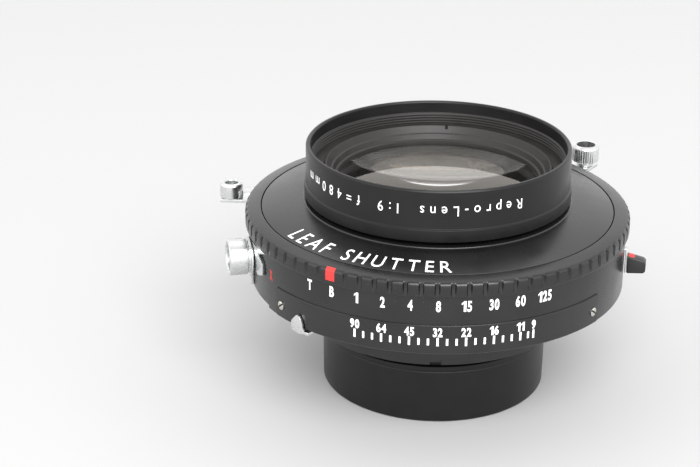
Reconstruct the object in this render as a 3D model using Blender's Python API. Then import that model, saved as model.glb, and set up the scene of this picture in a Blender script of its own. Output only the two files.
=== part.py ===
# Process lens of 480 mm focal length in a size-3 leaf shutter, standing on its rear rim.
# Lengths are in millimetres and become metres where vertices are made.
# Z is the optical axis, z = 0 is the rear rim, and azimuths are degrees from -Y towards +X.
import math

import bmesh
import bpy
from mathutils import Matrix, Vector

mm = 0.001
ringSegments = 48

# Driving sizes
bodyRadius = 50.15
bodyBottom = 30.0
bodyTop = 45.1
wallInnerRadius = 48.9
ledgeRadius = 48.2
ledgeHeight = 37.5
shelfUnderside = 43.6
hubRadius = 35.7
hubTop = 52.9
cellThreadRadius = 29.0
speedRingRadius = 51.0
speedRingBottom = 45.3
speedRingTop = 49.76
coverRadius = 46.6
barrelRadius = 34.9
barrelFootRadius = 35.3
barrelFootHeight = 53.3
barrelTop = 66.8
rearBarrelTop = 19.1
mountThreadRadius = 31.0
retainingRingRadius = 35.3
retainingRingBottom = 19.4
retainingRingTop = 24.4
seatHeight = 28.4
apertureRadius = 22.5
bladeInnerRadius = 22.8

# Scales and the controls that read against them
apertureRest = -42.5
apertureTravel = 70.4
scalePlateHalfAngle = 53.8
scalePlateTop = 37.8
previewAzimuth = 80.8
previewTravel = 12.0
syncAzimuth = -76.2
syncHeight = 38.6
syncRecess = {"start": -94.0, "end": -59.2, "radius": 49.4, "top": 44.6}
leverMargin = 4.4
leverClearance = 0.3
rearScrews = {"radius": 42.5, "azimuths": (45.0, 135.0, 225.0, 315.0)}
cableSocketAzimuth = -138.0

# Blades: pivot circle, inner and outer arc of the open blade, drive pin offset, swing
shutterBlades = {"count": 5, "pivot": 42.0, "outer": 38.6, "start": -22.0, "end": 112.0,
                 "pinOffset": 7.0, "swing": 34.5, "level": 37.7, "post": 0.8, "pin": 0.5}
irisBlades = {"count": 7, "pivot": 38.0, "outer": 35.0, "start": -20.0, "end": 112.0,
              "pinOffset": 8.5, "swing": 32.0, "level": 33.0, "post": 0.7, "pin": 0.5}
bladeThickness = 0.2
bladePitch = 0.4
mechanismPlateBottom = 36.2
mechanismPlateTop = 37.4
bladeRingBottom = 40.1
bladeRingTop = 40.9
irisRingBottom = 31.9
irisRingTop = 32.7
pinClearance = 0.15

# Levers above the blade ring, and the gears under them
leverBottom = 42.0
leverTop = 42.9
gearBottom = 41.3
gearTop = 41.9
gearModule = 0.8
cockingTeeth = 18
retardTeeth = 24
cockingPivot = {"radius": 39.0, "azimuth": 126.0}
cockingKnob = {"radius": 60.0, "azimuth": 134.2}
cockingTravel = -40.0
retardRadius = 36.5
releasePivot = {"radius": 40.0, "azimuth": -118.0}
releaseKnob = {"radius": 59.8, "azimuth": -108.6}
releaseTravel = -10.0
shaftRadius = 1.5
shaftHole = 1.65


def clearScene():
    for old in list(bpy.data.objects):
        bpy.data.objects.remove(old, do_unlink=True)


def material(name, color, roughness, metallic=0.0, transmission=0.0):
    made = bpy.data.materials.new(name)
    made.use_nodes = True
    shader = made.node_tree.nodes["Principled BSDF"]
    shader.inputs["Base Color"].default_value = (*color, 1.0)
    shader.inputs["Roughness"].default_value = roughness
    shader.inputs["Metallic"].default_value = metallic
    shader.inputs["Transmission Weight"].default_value = transmission
    return made


def blackPaint(name):
    return material(name, (0.018, 0.018, 0.019), 0.42)


def blackAnodised(name):
    return material(name, (0.022, 0.022, 0.023), 0.36, 0.6)


def blackSteel(name):
    return material(name, (0.03, 0.03, 0.032), 0.45, 0.8)


def chrome(name):
    return material(name, (0.75, 0.75, 0.76), 0.18, 1.0)


def brass(name):
    return material(name, (0.72, 0.52, 0.24), 0.3, 1.0)


def glass(name):
    return material(name, (0.95, 0.96, 0.98), 0.02, 0.0, 1.0)


def polar(radius, azimuth, z=0.0):
    turn = math.radians(azimuth)
    return Vector((radius * math.sin(turn), -radius * math.cos(turn), z))


def azimuthOf(point):
    return math.degrees(math.atan2(point.x, -point.y))


def arc(centre, radius, start, end, steps):
    # Points on an arc in the XY plane, with the angles in degrees from +X
    points = []
    for step in range(steps + 1):
        angle = math.radians(start + (end - start) * step / steps)
        points.append((centre[0] + radius * math.cos(angle), centre[1] + radius * math.sin(angle)))
    return points


def circle(centre, radius, steps):
    return arc(centre, radius, 0.0, 360.0 - 360.0 / steps, steps - 1)


def addObject(name, bm, look, origin=(0.0, 0.0, 0.0), frame=None):
    # Writes the mesh in metres, with the object's origin at the given point
    bmesh.ops.remove_doubles(bm, verts=bm.verts, dist=0.001)
    bmesh.ops.recalc_face_normals(bm, faces=bm.faces)
    if frame is not None:
        bm.transform(frame)
    bm.transform(Matrix.Translation(-Vector(origin)))
    bm.transform(Matrix.Scale(mm, 4))
    mesh = bpy.data.meshes.new(name)
    bm.to_mesh(mesh)
    bm.free()
    mesh.materials.append(look)
    made = bpy.data.objects.new(name, mesh)
    made.location = Vector(origin) * mm
    bpy.context.scene.collection.objects.link(made)
    return made


def turned(name, profile, look, segments=ringSegments, origin=(0.0, 0.0, 0.0), frame=None):
    # Turns (radius, z) points about Z; a profile that starts on the axis also ends there
    bm = bmesh.new()
    rows = []
    for radius, z in profile:
        if radius == 0.0:
            rows.append([bm.verts.new((0.0, 0.0, z))] * segments)
            continue
        row = []
        for step in range(segments):
            point = polar(radius, 360.0 * step / segments, z)
            row.append(bm.verts.new(point))
        rows.append(row)
    count = len(rows)
    last = count if profile[0][0] > 0.0 else count - 1
    for index in range(last):
        here, there = rows[index], rows[(index + 1) % count]
        for step in range(segments):
            after = (step + 1) % segments
            corners = []
            for vert in (here[step], here[after], there[after], there[step]):
                if vert not in corners:
                    corners.append(vert)
            bm.faces.new(corners)
    return addObject(name, bm, look, origin, frame)


def plate(name, outline, holes, bottom, top, look, pins=(), origin=(0.0, 0.0, 0.0)):
    # Extrudes a flat outline with holes; each pin is (centre, radius, end height)
    bm = bmesh.new()
    edges = []
    discs = []
    for loop in [outline, *holes]:
        verts = [bm.verts.new((x, y, bottom)) for x, y in loop]
        edges += [bm.edges.new((verts[i - 1], verts[i])) for i in range(len(verts))]
    for centre, radius, end in pins:
        verts = [bm.verts.new((x, y, bottom)) for x, y in circle(centre, radius, 10)]
        edges += [bm.edges.new((verts[i - 1], verts[i])) for i in range(len(verts))]
        discs.append((verts, end))
    bmesh.ops.triangle_fill(bm, use_beauty=True, use_dissolve=False, edges=edges,
                            normal=(0.0, 0.0, 1.0))
    lower = [bm.faces.new(verts) for verts, end in discs]
    bmesh.ops.recalc_face_normals(bm, faces=bm.faces)
    upperOf = {}
    copied = bmesh.ops.duplicate(bm, geom=list(bm.faces))
    for old, new in copied["face_map"].items():
        upperOf[old] = new
    upperVerts = [item for item in copied["geom"] if isinstance(item, bmesh.types.BMVert)]
    bmesh.ops.translate(bm, verts=upperVerts, vec=(0.0, 0.0, top - bottom))
    rims = [edge for edge in bm.edges if edge.is_boundary]
    wallBetween(bm, rims, bottom, top)
    for face, (verts, end) in zip(lower, discs):
        grown = upperOf[face] if end > top else face
        start = top if end > top else bottom
        pulled = bmesh.ops.extrude_discrete_faces(bm, faces=[grown])
        tip = pulled["faces"][0]
        bmesh.ops.translate(bm, verts=list(tip.verts), vec=(0.0, 0.0, end - start))
    return addObject(name, bm, look, origin)


def wallBetween(bm, rims, bottom, top):
    # Joins each lower rim edge to the same edge of the upper copy
    upper = {}
    for edge in rims:
        if abs(edge.verts[0].co.z - top) < 1e-4:
            for vert in edge.verts:
                upper[(round(vert.co.x, 5), round(vert.co.y, 5))] = vert
    for edge in rims:
        if abs(edge.verts[0].co.z - bottom) < 1e-4:
            a, b = edge.verts
            c = upper[(round(b.co.x, 5), round(b.co.y, 5))]
            d = upper[(round(a.co.x, 5), round(a.co.y, 5))]
            bm.faces.new((a, b, c, d))


def bar(name, outline, width, base, heading, look, origin=(0.0, 0.0, 0.0), peakDrop=0.0):
    # Extrudes an (along, z) outline across its width; peakDrop lowers the outer top corners
    bm = bmesh.new()
    along = Vector((math.cos(heading), math.sin(heading), 0.0))
    across = Vector((-along.y, along.x, 0.0))
    highest = max(z for s, z in outline)
    columns = []
    for offset in (-width / 2, 0.0, width / 2):
        column = []
        for s, z in outline:
            drop = peakDrop if offset and z == highest else 0.0
            point = Vector((base[0], base[1], z - drop)) + along * s + across * offset
            column.append(bm.verts.new(point))
        columns.append(column)
    count = len(outline)
    bm.faces.new(columns[0])
    bm.faces.new(list(reversed(columns[2])))
    for left, right in ((columns[0], columns[1]), (columns[1], columns[2])):
        for i in range(count):
            j = (i + 1) % count
            bm.faces.new((left[i], left[j], right[j], right[i]))
    return addObject(name, bm, look, origin)


def arcBlock(name, inner, outer, start, end, bottom, top, look, steps=12):
    # A curved block between two radii, two azimuths and two heights
    bm = bmesh.new()
    columns = []
    for step in range(steps + 1):
        azimuth = start + (end - start) * step / steps
        section = ((inner, bottom), (outer, bottom), (outer, top), (inner, top))
        columns.append([bm.verts.new(polar(radius, azimuth, z)) for radius, z in section])
    for left, right in zip(columns, columns[1:]):
        for i in range(4):
            j = (i + 1) % 4
            bm.faces.new((left[i], left[j], right[j], right[i]))
    bm.faces.new(columns[0])
    bm.faces.new(list(reversed(columns[-1])))
    return addObject(name, bm, look)


def cut(target, cutter):
    cutter.hide_render = True
    cutter.display_type = "WIRE"
    modifier = target.modifiers.new(cutter.name, "BOOLEAN")
    modifier.operation = "DIFFERENCE"
    modifier.solver = "EXACT"
    modifier.object = cutter


def radialFrame(azimuth, z):
    # Puts a turned piece's Z along the radius that points out at this azimuth
    outward = polar(1.0, azimuth)
    sideways = Vector((-outward.y, outward.x, 0.0))
    up = outward.cross(sideways)
    frame = Matrix((sideways, up, outward)).transposed().to_4x4()
    return Matrix.Translation((0.0, 0.0, z)) @ frame


def lensSurface(edgeRadius, edgeZ, apexZ, steps):
    # Points of a shallow spherical surface, from its edge to the axis
    sag = apexZ - edgeZ
    ball = (edgeRadius ** 2 + sag ** 2) / (2 * sag)
    points = []
    for step in range(steps + 1):
        radius = edgeRadius * (1 - step / steps)
        points.append((radius, apexZ - ball + math.copysign(math.sqrt(ball ** 2 - radius ** 2), ball)))
    return points


def lens(name, edgeRadius, frontEdge, frontApex, backEdge, backApex):
    front = lensSurface(edgeRadius, frontEdge, frontApex, 3)
    back = lensSurface(edgeRadius, backEdge, backApex, 3)
    profile = list(reversed(front)) + back
    return turned(name, profile, glass(name + "_glass"))


def ring(name, inner, outer, bottom, top, look):
    return turned(name, [(inner, bottom), (outer, bottom), (outer, top), (inner, top)], look)


def frontCell():
    turned("front_barrel", [
        (27.0, 44.2), (28.95, 44.2), (28.95, 53.0), (33.5, 53.0), (33.5, barrelFootHeight),
        (barrelFootRadius, barrelFootHeight), (barrelFootRadius, 56.4), (barrelRadius, 56.6),
        (barrelRadius, 66.4), (34.6, barrelTop), (33.8, barrelTop), (33.6, 63.5), (33.3, 63.4),
        (33.3, 60.2), (30.2, 60.2), (30.2, 56.3), (27.8, 56.3), (27.8, 52.6), (27.0, 52.6),
    ], blackAnodised("front_barrel"))
    turned("front_retaining_ring", [
        (26.5, 56.5), (30.0, 56.5), (30.0, 61.0), (29.8, 61.2), (29.4, 61.2), (28.3, 59.4),
        (27.8, 59.2), (27.3, 57.9), (26.7, 57.7),
    ], blackAnodised("front_retaining_ring"))
    lens("front_outer_element", 27.6, 56.2, 57.9, 52.9, 51.9)
    ring("front_spacer_ring", 25.6, 26.8, 49.6, 52.4, blackPaint("front_spacer_ring"))
    lens("front_inner_element", 26.8, 49.3, 48.2, 45.6, 46.2)
    ring("front_inner_retainer", 25.4, 26.8, 44.3, 45.3, blackPaint("front_inner_retainer"))


def rearCell():
    turned("rear_barrel", [
        (27.0, 2.6), (27.6, 0.4), (28.0, 0.0), (29.6, 0.0), (30.05, 0.45), (30.2, 14.4),
        (30.0, 14.7), (30.4, 15.0), (30.4, rearBarrelTop), (28.95, rearBarrelTop),
        (28.95, 31.4), (27.0, 31.4),
    ], blackAnodised("rear_barrel"))
    ring("rear_retaining_ring", 25.4, 26.8, 4.2, 6.8, blackPaint("rear_retaining_ring"))
    lens("rear_outer_element", 26.8, 10.0, 11.0, 7.0, 5.4)
    ring("rear_spacer_ring", 25.6, 26.8, 10.3, 24.0, blackPaint("rear_spacer_ring"))
    lens("rear_inner_element", 26.8, 28.2, 27.6, 24.3, 25.4)


def leverSlot(name, base, heading, travel):
    # The stretch of wall that a lever sweeps, as a cutter
    azimuths = []
    for turn in (0.0, travel):
        angle = heading + math.radians(turn)
        along = Vector((math.cos(angle), math.sin(angle), 0.0))
        inward = base.dot(along)
        reach = -inward + math.sqrt(inward ** 2 + 49.2 ** 2 - base.length_squared)
        azimuths.append(azimuthOf(base + along * reach))
    return arcBlock(name, 47.0, 51.5, min(azimuths) - leverMargin, max(azimuths) + leverMargin,
                    leverBottom - leverClearance, leverTop + leverClearance, blackPaint(name), 8)


def pivotOf(place):
    return polar(place["radius"], place["azimuth"])


def leverHeading(pivot, knob):
    # The way a lever points, and how far out its knob is
    reach = pivotOf(knob) - pivotOf(pivot)
    return math.atan2(reach.y, reach.x), reach.length


def shutterCase():
    housing = turned("shutter_housing", [
        (wallInnerRadius, bodyBottom), (bodyRadius, bodyBottom), (bodyRadius, bodyTop - 0.2),
        (bodyRadius - 0.2, bodyTop), (37.5, bodyTop), (37.5, 47.2), (hubRadius, 47.2),
        (hubRadius, hubTop - 0.2), (hubRadius - 0.2, hubTop), (cellThreadRadius + 0.05, hubTop),
        (cellThreadRadius + 0.05, shelfUnderside), (ledgeRadius, shelfUnderside),
        (ledgeRadius, ledgeHeight), (wallInnerRadius, ledgeHeight),
    ], blackPaint("shutter_housing"))
    heading = leverHeading(cockingPivot, cockingKnob)[0]
    cut(housing, leverSlot("cocking_slot", pivotOf(cockingPivot), heading, cockingTravel))
    heading = leverHeading(releasePivot, releaseKnob)[0]
    cut(housing, leverSlot("release_slot", pivotOf(releasePivot), heading, releaseTravel))
    cut(housing, arcBlock("preview_slot", 47.0, 51.5, previewAzimuth - 2.6,
                          previewAzimuth + previewTravel + 2.6, 40.8, 41.8,
                          blackPaint("preview_slot"), 6))
    # The wall is thinner where the flash socket's bracket lies against it
    cut(housing, arcBlock("sync_recess", syncRecess["radius"], 51.5, syncRecess["start"],
                          syncRecess["end"], bodyBottom - 1.0, syncRecess["top"],
                          blackPaint("sync_recess"), 12))
    turned("speed_ring", [
        (37.8, speedRingBottom), (50.8, speedRingBottom), (speedRingRadius, speedRingBottom + 0.2),
        (speedRingRadius, 49.0), (50.3, 49.4), (46.9, speedRingTop), (46.9, 46.9), (37.8, 46.9),
    ], blackPaint("speed_ring"))
    turned("front_cover", [
        (36.0, 47.5), (37.6, 47.5), (37.6, 49.8), (45.4, 48.5), (45.4, 47.4), (coverRadius, 47.4),
        (coverRadius, 49.7), (46.4, speedRingTop), (36.3, 51.7), (36.0, 51.4),
    ], blackPaint("front_cover"))
    rearPlate()
    notched = ring("retaining_ring", mountThreadRadius + 0.15, retainingRingRadius,
                   retainingRingBottom, retainingRingTop, blackAnodised("retaining_ring"))
    for number, azimuth in enumerate((0.0, 90.0, 180.0, 270.0), 1):
        notch = arcBlock(f"spanner_notch_{number}", 33.6, 36.0, azimuth - 2.4, azimuth + 2.4,
                         retainingRingBottom - 1.0, retainingRingBottom + 1.2,
                         blackPaint(f"spanner_notch_{number}"), 2)
        cut(notched, notch)
    arcBlock("aperture_scale_plate", bodyRadius + 0.06, bodyRadius + 0.36, -scalePlateHalfAngle,
             scalePlateHalfAngle, bodyBottom + 0.1, scalePlateTop,
             blackPaint("aperture_scale_plate"), 30)
    start = bodyRadius + 0.42
    for number, azimuth in enumerate((-51.3, 51.3), 1):
        turned(f"scale_plate_screw_{number}", [
            (0.0, start), (1.1, start), (1.1, start + 0.25), (0.7, start + 0.45),
            (0.0, start + 0.45),
        ], chrome(f"scale_plate_screw_{number}"), 12, frame=radialFrame(azimuth, 33.6))


def rearPlate():
    # The back of the shutter, with the seat for the lens board and the mounting thread
    slotStart = apertureRest - 4.0
    slotEnd = apertureRest + apertureTravel + 4.0
    plateObject = turned("rear_plate", [
        (cellThreadRadius + 0.05, retainingRingBottom - 0.1),
        (mountThreadRadius, retainingRingBottom - 0.1), (mountThreadRadius, seatHeight),
        (37.5, seatHeight), (37.5, bodyBottom), (48.7, bodyBottom), (48.7, 31.6),
        (cellThreadRadius + 0.05, 31.6),
    ], blackPaint("rear_plate"))
    cut(plateObject, arcBlock("aperture_lever_slot", 45.2, 47.0, slotStart, slotEnd, 28.0, 33.0,
                              blackPaint("aperture_lever_slot"), 16))
    for number, azimuth in enumerate(rearScrews["azimuths"], 1):
        frame = Matrix.Translation(polar(rearScrews["radius"], azimuth))
        hole = turned(f"screw_hole_{number}", [(0.0, 29.0), (1.75, 29.0), (1.75, 30.9),
                                               (0.0, 30.9)],
                      blackPaint(f"screw_hole_{number}"), 12, frame=frame)
        cut(plateObject, hole)
        turned(f"rear_plate_screw_{number}", [(0.0, 30.05), (1.6, 30.05), (1.6, 30.8),
                                              (0.0, 30.8)],
               blackSteel(f"rear_plate_screw_{number}"), 12, frame=frame)


def bladePin(blade, swing):
    # The drive pin's place in the blade's own frame, after the blade has swung in
    angle = math.radians(swing)
    reach = blade["pinOffset"]
    return (blade["pivot"] + reach * math.sin(angle), -reach * math.cos(angle))


def camSlot(blade, travel, turn):
    # Outline of the ring slot that one drive pin runs in, in the ring's rest frame
    steps = 16
    track = []
    for step in range(steps + 1):
        part = step / steps
        x, y = bladePin(blade, blade["swing"] * (1 - part))
        track.append(Matrix.Rotation(math.radians(turn - travel * part), 3, "Z")
                     @ Vector((x, y, 0.0)))
    half = blade["pin"] + pinClearance
    left, right = [], []
    for index, point in enumerate(track):
        before = track[max(index - 1, 0)]
        after = track[min(index + 1, steps)]
        run = (after - before).normalized()
        side = Vector((-run.y, run.x, 0.0)) * half
        stretch = run * half * {0: -1, steps: 1}.get(index, 0)
        left.append((point + side + stretch)[:2])
        right.append((point - side + stretch)[:2])
    return left + list(reversed(right))


def bladeOutline(blade):
    # A curved leaf with an ear that carries its pivot hole and its drive pin
    pivot = blade["pivot"]
    inner = arc((0.0, 0.0), bladeInnerRadius, blade["start"], blade["end"], 16)
    outer = arc((0.0, 0.0), blade["outer"], blade["end"], 12.0, 11)
    ear = arc((pivot, 0.0), 2.0, 60.0, 0.0, 3)
    lobe = arc((pivot, -blade["pinOffset"]), 1.4, 0.0, -120.0, 4)
    return inner + outer + ear + lobe


def swungBlades(prefix, blade, pinEnd, look):
    # Every blade starts closed: the open outline swung in about its own pivot
    for number in range(1, blade["count"] + 1):
        turn = 360.0 * (number - 1) / blade["count"] + 20.0
        pivot = Vector((blade["pivot"], 0.0, 0.0))
        place = (Matrix.Rotation(math.radians(turn), 4, "Z") @ Matrix.Translation(pivot)
                 @ Matrix.Rotation(math.radians(blade["swing"]), 4, "Z")
                 @ Matrix.Translation(-pivot))
        outline = [(place @ Vector((x, y, 0.0)))[:2] for x, y in bladeOutline(blade)]
        hole = [(place @ Vector((x, y, 0.0)))[:2]
                for x, y in circle(pivot, blade["post"] + pinClearance, 10)]
        pin = (place @ Vector((blade["pivot"], -blade["pinOffset"], 0.0)))[:2]
        bottom = blade["level"] + bladePitch * (number - 1)
        plate(f"{prefix}_{number}", outline, [hole], bottom, bottom + bladeThickness,
              look(f"{prefix}_{number}"), [(pin, blade["pin"], pinEnd)],
              place @ pivot)


def posts(blade, end):
    made = []
    for number in range(blade["count"]):
        turn = math.radians(360.0 * number / blade["count"] + 20.0)
        centre = (blade["pivot"] * math.cos(turn), blade["pivot"] * math.sin(turn))
        made.append((centre, blade["post"], end))
    return made


def ringWithSlots(name, blade, travel, inner, outline, bottom, top, look):
    slots = [camSlot(blade, travel, 360.0 * number / blade["count"] + 20.0)
             for number in range(blade["count"])]
    return plate(name, outline, [circle((0.0, 0.0), inner, ringSegments), *slots], bottom, top,
                 look)


def bladeMechanism():
    plate("mechanism_plate", circle((0.0, 0.0), 48.5, ringSegments),
          [circle((0.0, 0.0), apertureRadius, ringSegments)], mechanismPlateBottom,
          mechanismPlateTop, blackSteel("mechanism_plate"),
          posts(shutterBlades, 39.8) + posts(irisBlades, 32.85))
    swungBlades("shutter_blade", shutterBlades, bladeRingTop - 0.1, blackSteel)
    ringWithSlots("blade_ring", shutterBlades, previewTravel, 37.5,
                  circle((0.0, 0.0), 47.8, ringSegments), bladeRingBottom, bladeRingTop,
                  brass("blade_ring"))
    swungBlades("iris_blade", irisBlades, irisRingBottom + 0.1, blackSteel)
    ear = apertureRest - 90.0
    outline = (arc((0.0, 0.0), 44.9, ear + 4.0, ear + 356.0, ringSegments)
               + arc((0.0, 0.0), 46.7, ear - 3.4, ear + 3.4, 2))
    ringWithSlots("iris_ring", irisBlades, apertureTravel, 36.6, outline, irisRingBottom,
                  irisRingTop, brass("iris_ring"))


def apertureLever():
    # The stem hangs from the iris ring, passes the rear plate and turns up over the scale
    outline = [(45.6, 31.8), (46.6, 31.8), (46.6, 29.5), (50.8, 29.5), (50.8, 34.0),
               (51.5, 34.0), (51.5, 28.7), (45.6, 28.7)]
    bar("aperture_lever", outline, 5.2, (0.0, 0.0), math.radians(apertureRest - 90.0),
        chrome("aperture_lever"), peakDrop=2.3)


def shaft(name, place, bottom, top):
    pivot = pivotOf(place)
    turned(name, [(0.0, bottom), (shaftRadius, bottom), (shaftRadius, top), (0.0, top)],
           brass(name), 16, frame=Matrix.Translation(pivot))


def shaftCutter(name, place):
    pivot = pivotOf(place)
    return turned(name, [(0.0, 41.0), (shaftHole, 41.0), (shaftHole, 44.0), (0.0, 44.0)],
                  blackPaint(name), 16, frame=Matrix.Translation(pivot))


def hairpin(centre, radius, wire, first, last, leg):
    # Outline of a flat spring: two straight legs and the turn between them
    half = wire / 2
    firstTurn, lastTurn = math.radians(first), math.radians(last)

    def onLeg(turn, along, offset):
        return (centre[0] + along * math.cos(turn) - offset * math.sin(turn),
                centre[1] + along * math.sin(turn) + offset * math.cos(turn))

    margin = math.degrees(half / radius)
    outerArc = arc(centre, radius + half, first + margin, last - margin, 14)
    innerArc = arc(centre, radius - half, last, first, 14)
    return ([onLeg(firstTurn, leg, -half), onLeg(firstTurn, leg, half)] + outerArc
            + [onLeg(lastTurn, leg, -half), onLeg(lastTurn, leg, half)] + innerArc)


def gearOutline(centre, teeth, phase):
    # Straight-sided teeth with room for the mating gear's
    pitch = 360.0 / teeth
    root = gearModule * (teeth / 2 - 1.1)
    tip = gearModule * (teeth / 2 + 0.8)
    points = []
    for tooth in range(teeth):
        middle = phase + pitch * tooth
        for radius, share in ((root, -0.30), (tip, -0.13), (tip, 0.13), (root, 0.30)):
            angle = math.radians(middle + share * pitch)
            points.append((centre[0] + radius * math.cos(angle),
                           centre[1] + radius * math.sin(angle)))
    return points


def gears():
    # The cocking gear turns with its lever and drives the retard gear beside it
    cocking = pivotOf(cockingPivot)
    spread = gearModule * (cockingTeeth + retardTeeth) / 2
    cosine = ((cocking.length ** 2 + retardRadius ** 2 - spread ** 2)
              / (2 * cocking.length * retardRadius))
    retardPlace = {"radius": retardRadius,
                   "azimuth": cockingPivot["azimuth"] + math.degrees(math.acos(cosine))}
    retard = pivotOf(retardPlace)
    line = retard - cocking
    towards = math.degrees(math.atan2(line.y, line.x))
    plate("cocking_gear", gearOutline(cocking, cockingTeeth, towards),
          [circle(cocking, shaftHole, 16)], gearBottom, gearTop, brass("cocking_gear"),
          origin=cocking)
    plate("retard_gear",
          gearOutline(retard, retardTeeth, towards + 180.0 + 180.0 / retardTeeth),
          [circle(retard, shaftHole, 16)], gearBottom, gearTop, brass("retard_gear"),
          origin=retard)
    shaft("retard_shaft", retardPlace, 41.1, 43.5)


def cockingControl():
    pivot = pivotOf(cockingPivot)
    heading, reach = leverHeading(cockingPivot, cockingKnob)
    outline = [(-3.0, leverBottom), (14.6, leverBottom), (15.6, 44.7), (reach + 3.2, 44.7),
               (reach + 3.2, 45.7), (14.8, 45.7), (13.9, leverTop), (-3.0, leverTop)]
    lever = bar("cocking_lever", outline, 5.0, pivot, heading, chrome("cocking_lever"), pivot)
    cut(lever, shaftCutter("cocking_hole", cockingPivot))
    shaft("cocking_shaft", cockingPivot, 41.1, 43.5)
    knob = pivotOf(cockingKnob)
    turned("cocking_knob", [
        (0.0, 45.8), (2.4, 45.8), (2.4, 46.9), (3.5, 47.0), (3.8, 47.3), (3.8, 51.5),
        (3.5, 51.9), (2.65, 51.9), (2.65, 49.0), (0.0, 49.0),
    ], chrome("cocking_knob"), 20, pivot, Matrix.Translation(knob))
    plate("cocking_spring", hairpin(pivot, 2.2, 0.5, 160.0, 420.0, 6.0), [], 43.05, 43.5,
          chrome("cocking_spring"))


def releaseControl():
    pivot = pivotOf(releasePivot)
    heading, reach = leverHeading(releasePivot, releaseKnob)
    outline = [(-3.0, leverBottom), (reach + 3.0, leverBottom), (reach + 3.0, leverTop),
               (reach - 3.3, leverTop), (reach - 3.6, 44.8), (12.6, 44.8), (12.3, leverTop),
               (-3.0, leverTop)]
    lever = bar("release_lever", outline, 5.2, pivot, heading, chrome("release_lever"), pivot)
    cut(lever, shaftCutter("release_hole", releasePivot))
    shaft("release_shaft", releasePivot, 41.1, 43.5)
    knob = pivotOf(releaseKnob)
    turned("release_knob", [
        (0.0, 42.95), (3.0, 42.95), (3.2, 43.2), (3.2, 47.0), (2.9, 47.3), (1.8, 47.3),
        (1.8, 44.3), (0.0, 44.3),
    ], chrome("release_knob"), 20, pivot, Matrix.Translation(knob))
    plate("release_spring", hairpin(pivot, 2.2, 0.5, 20.0, 280.0, 6.0), [], gearBottom, gearTop,
          chrome("release_spring"))


def previewControl():
    # The strip is riveted on the blade ring and turns down outside the wall
    heading = math.radians(previewAzimuth - 90.0)
    strip = [(44.0, 41.0), (50.4, 41.0), (50.4, 34.8), (50.85, 34.8), (50.85, 41.6),
             (44.0, 41.6)]
    bar("preview_lever", strip, 3.4, (0.0, 0.0), heading, chrome("preview_lever"))
    tip = [(50.95, 34.6), (55.3, 34.9), (55.9, 35.4), (55.9, 37.9), (55.3, 38.5), (50.95, 39.5)]
    bar("preview_lever_tip", tip, 3.2, (0.0, 0.0), heading,
        material("preview_lever_tip", (0.02, 0.02, 0.022), 0.5))


def syncSocket():
    # The bracket hugs the thinned wall: a plate with an ear, a corner tab and a thin tail
    outline = [(-9.0, 33.5), (4.2, 33.5), (4.2, 30.4), (5.0, 30.4), (5.0, 33.5), (9.0, 33.5),
               (9.5, 38.3), (14.7, 38.4), (13.9, 41.0), (13.0, 42.3), (16.6, 42.7),
               (16.0, 44.4), (11.2, 44.4), (10.6, 43.4), (2.6, 44.4), (-9.0, 43.6)]
    inner = syncRecess["radius"] + 0.05
    curvedSheet("sync_base", outline, syncAzimuth, inner, inner + 0.8, chrome("sync_base"))
    frame = radialFrame(syncAzimuth, syncHeight)
    base = inner + 0.85
    turned("sync_socket", [
        (0.0, base), (5.3, base), (5.3, base + 0.5), (4.4, base + 0.6), (4.4, base + 1.1),
        (4.8, base + 1.3), (4.8, base + 5.8), (4.5, base + 6.1), (4.1, base + 6.1),
        (3.9, base + 5.8), (3.9, base + 1.6), (0.0, base + 1.6),
    ], chrome("sync_socket"), 20, frame=frame)
    turned("sync_insulator", [
        (0.9, base + 1.7), (3.7, base + 1.7), (3.7, base + 3.2), (0.9, base + 3.2),
    ], material("sync_insulator", (0.03, 0.03, 0.03), 0.5), 16, frame=frame)
    turned("sync_pin", [(0.0, base + 1.7), (0.7, base + 1.7), (0.7, base + 5.0),
                        (0.0, base + 5.0)], chrome("sync_pin"), 10, frame=frame)


def curvedSheet(name, outline, azimuth, inner, outer, look):
    # A flat outline of (azimuth offset, z) points wrapped round the body as a sheet
    bm = bmesh.new()
    flat = [(turn * math.radians(1.0) * outer, z) for turn, z in outline]
    verts = [bm.verts.new((x, 0.0, z)) for x, z in flat]
    edges = [bm.edges.new((verts[i - 1], verts[i])) for i in range(len(verts))]
    bmesh.ops.triangle_fill(bm, use_beauty=True, use_dissolve=False, edges=edges,
                            normal=(0.0, -1.0, 0.0))
    low, high = min(x for x, z in flat), max(x for x, z in flat)
    strips = 8
    for step in range(1, strips):
        geometry = list(bm.verts) + list(bm.edges) + list(bm.faces)
        bmesh.ops.bisect_plane(bm, geom=geometry, dist=0.0001,
                               plane_co=(low + (high - low) * step / strips, 0.0, 0.0),
                               plane_no=(1.0, 0.0, 0.0))
    front = list(bm.faces)
    pulled = bmesh.ops.extrude_face_region(bm, geom=front)
    for item in pulled["geom"]:
        if isinstance(item, bmesh.types.BMVert):
            item.co.y = 1.0
    for vert in bm.verts:
        radius = outer if vert.co.y == 0.0 else inner
        turn = math.degrees(vert.co.x / outer)
        vert.co = polar(radius, azimuth + turn, vert.co.z)
    return addObject(name, bm, look)


def cableReleaseSocket():
    frame = radialFrame(cableSocketAzimuth, 38.0)
    base = bodyRadius + 0.1
    turned("cable_release_socket", [
        (0.0, base), (3.2, base), (3.2, base + 1.0), (2.5, base + 1.2), (2.5, base + 5.0),
        (2.2, base + 5.2), (1.6, base + 5.2), (1.2, base + 1.5), (0.0, base + 1.5),
    ], chrome("cable_release_socket"), 16, frame=frame)


def main():
    clearScene()
    frontCell()
    rearCell()
    shutterCase()
    bladeMechanism()
    apertureLever()
    gears()
    cockingControl()
    releaseControl()
    previewControl()
    syncSocket()
    cableReleaseSocket()


main()
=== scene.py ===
import math

import bmesh
import bpy
from mathutils import Matrix, Vector


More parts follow.
